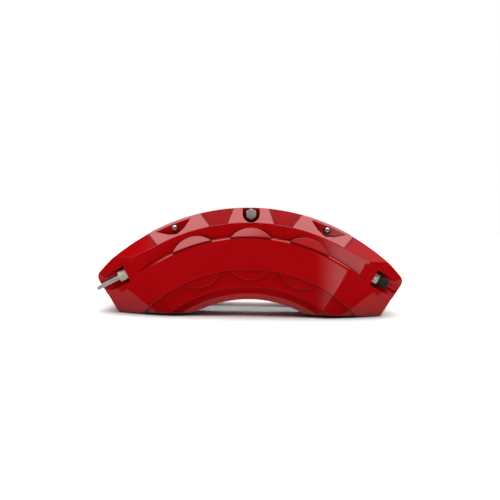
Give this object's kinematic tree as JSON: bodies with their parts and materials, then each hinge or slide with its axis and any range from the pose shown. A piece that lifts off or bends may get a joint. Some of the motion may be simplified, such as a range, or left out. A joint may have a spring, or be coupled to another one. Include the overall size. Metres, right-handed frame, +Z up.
{
  "type": "brake caliper",
  "caption": "Fixed opposed-piston brake caliper for a radial mounting, with pads, pad pins, crossover pipe and bleed screws; no disc.",
  "frame": {"origin": "midway between the two mounting holes, on the mounting face of the lugs; the disc's mid plane is 84 mm away at -Y", "axes": "+X along the caliper, +Y inboard towards the vehicle, +Z up, away from the disc's axis"},
  "size_m": [0.3452, 0.175, 0.1209],
  "materials": {
    "red_paint": "gloss",
    "seal_rubber": "matte",
    "pad_steel": "black coated",
    "shim_steel": "satin",
    "friction": "rough",
    "zinc_steel": "zinc plated",
    "piston_alloy": "hard anodised",
    "spring_steel": "bright stainless",
    "polished_steel": "polished",
    "bright_steel": "bright",
    "black_steel": "black oxide"
  },
  "bodies": {
    "caliper": {"outboard_half": "red_paint", "inboard_half": "red_paint", "piston_seals_outboard": "seal_rubber", "piston_seals_inboard": "seal_rubber", "dust_wipers_outboard": "seal_rubber", "dust_wipers_inboard": "seal_rubber", "flare_nut_outboard": "zinc_steel", "flare_nut_inboard": "zinc_steel", "pad_abutments": "spring_steel", "pad_spring": "spring_steel", "pad_pin_leading": "polished_steel", "pad_pin_trailing": "polished_steel", "pin_circlips": "spring_steel", "tie_bolt": "bright_steel", "tie_spacer": "bright_steel", "body_bolts": "black_steel", "crossover_pipe": "bright_steel"},
    "outboard_pad": {"pad_plate_outboard": "pad_steel", "pad_lining_outboard": "friction", "pad_shim_outboard": "shim_steel"},
    "outboard_leading_piston": {"piston_leading_outboard": "piston_alloy"},
    "outboard_middle_piston": {"piston_middle_outboard": "piston_alloy"},
    "outboard_trailing_piston": {"piston_trailing_outboard": "piston_alloy"},
    "inboard_pad": {"pad_plate_inboard": "pad_steel", "pad_lining_inboard": "friction", "pad_shim_inboard": "shim_steel"},
    "inboard_leading_piston": {"piston_leading_inboard": "piston_alloy"},
    "inboard_middle_piston": {"piston_middle_inboard": "piston_alloy"},
    "inboard_trailing_piston": {"piston_trailing_inboard": "piston_alloy"},
    "outboard_bleed_screw": {"bleed_screw_outboard": "zinc_steel"},
    "outboard_bleed_cap": {"bleed_cap_outboard": "seal_rubber"},
    "inboard_bleed_screw": {"bleed_screw_inboard": "zinc_steel"},
    "inboard_bleed_cap": {"bleed_cap_inboard": "seal_rubber"}
  },
  "joints": [
    {"name": "outboard_pad_slide", "type": "slide", "parent": "caliper", "child": "outboard_pad", "axis": [0, 1, 0], "range_m": [0, 0.009]},
    {"name": "outboard_leading_piston_slide", "type": "slide", "parent": "caliper", "child": "outboard_leading_piston", "axis": [0, 1, 0], "range_m": [0, 0.009]},
    {"name": "outboard_middle_piston_slide", "type": "slide", "parent": "caliper", "child": "outboard_middle_piston", "axis": [0, 1, 0], "range_m": [0, 0.009]},
    {"name": "outboard_trailing_piston_slide", "type": "slide", "parent": "caliper", "child": "outboard_trailing_piston", "axis": [0, 1, 0], "range_m": [0, 0.009]},
    {"name": "inboard_pad_slide", "type": "slide", "parent": "caliper", "child": "inboard_pad", "axis": [0, -1, 0], "range_m": [0, 0.009]},
    {"name": "inboard_leading_piston_slide", "type": "slide", "parent": "caliper", "child": "inboard_leading_piston", "axis": [0, -1, 0], "range_m": [0, 0.009]},
    {"name": "inboard_middle_piston_slide", "type": "slide", "parent": "caliper", "child": "inboard_middle_piston", "axis": [0, -1, 0], "range_m": [0, 0.009]},
    {"name": "inboard_trailing_piston_slide", "type": "slide", "parent": "caliper", "child": "inboard_trailing_piston", "axis": [0, -1, 0], "range_m": [0, 0.009]},
    {"name": "outboard_bleed_screw_turn", "type": "hinge", "parent": "caliper", "child": "outboard_bleed_screw", "pos_m": [0.13697, -0.142, 0.04247], "axis": [0.8829, 0, -0.4695], "range_deg": [0, 180]},
    {"name": "outboard_bleed_cap_pull", "type": "slide", "parent": "outboard_bleed_screw", "child": "outboard_bleed_cap", "axis": [0.8829, 0, -0.4695], "range_m": [0, 0.02]},
    {"name": "inboard_bleed_screw_turn", "type": "hinge", "parent": "caliper", "child": "inboard_bleed_screw", "pos_m": [0.13697, -0.026, 0.04247], "axis": [0.8829, 0, -0.4695], "range_deg": [0, 180]},
    {"name": "inboard_bleed_cap_pull", "type": "slide", "parent": "inboard_bleed_screw", "child": "inboard_bleed_cap", "axis": [0.8829, 0, -0.4695], "range_m": [0, 0.02]}
  ],
  "couplings": [
    {"joint": "outboard_leading_piston_slide", "follows": "outboard_pad_slide", "ratio": 1},
    {"joint": "outboard_middle_piston_slide", "follows": "outboard_pad_slide", "ratio": 1},
    {"joint": "outboard_trailing_piston_slide", "follows": "outboard_pad_slide", "ratio": 1},
    {"joint": "inboard_leading_piston_slide", "follows": "inboard_pad_slide", "ratio": 1},
    {"joint": "inboard_middle_piston_slide", "follows": "inboard_pad_slide", "ratio": 1},
    {"joint": "inboard_trailing_piston_slide", "follows": "inboard_pad_slide", "ratio": 1}
  ]
}
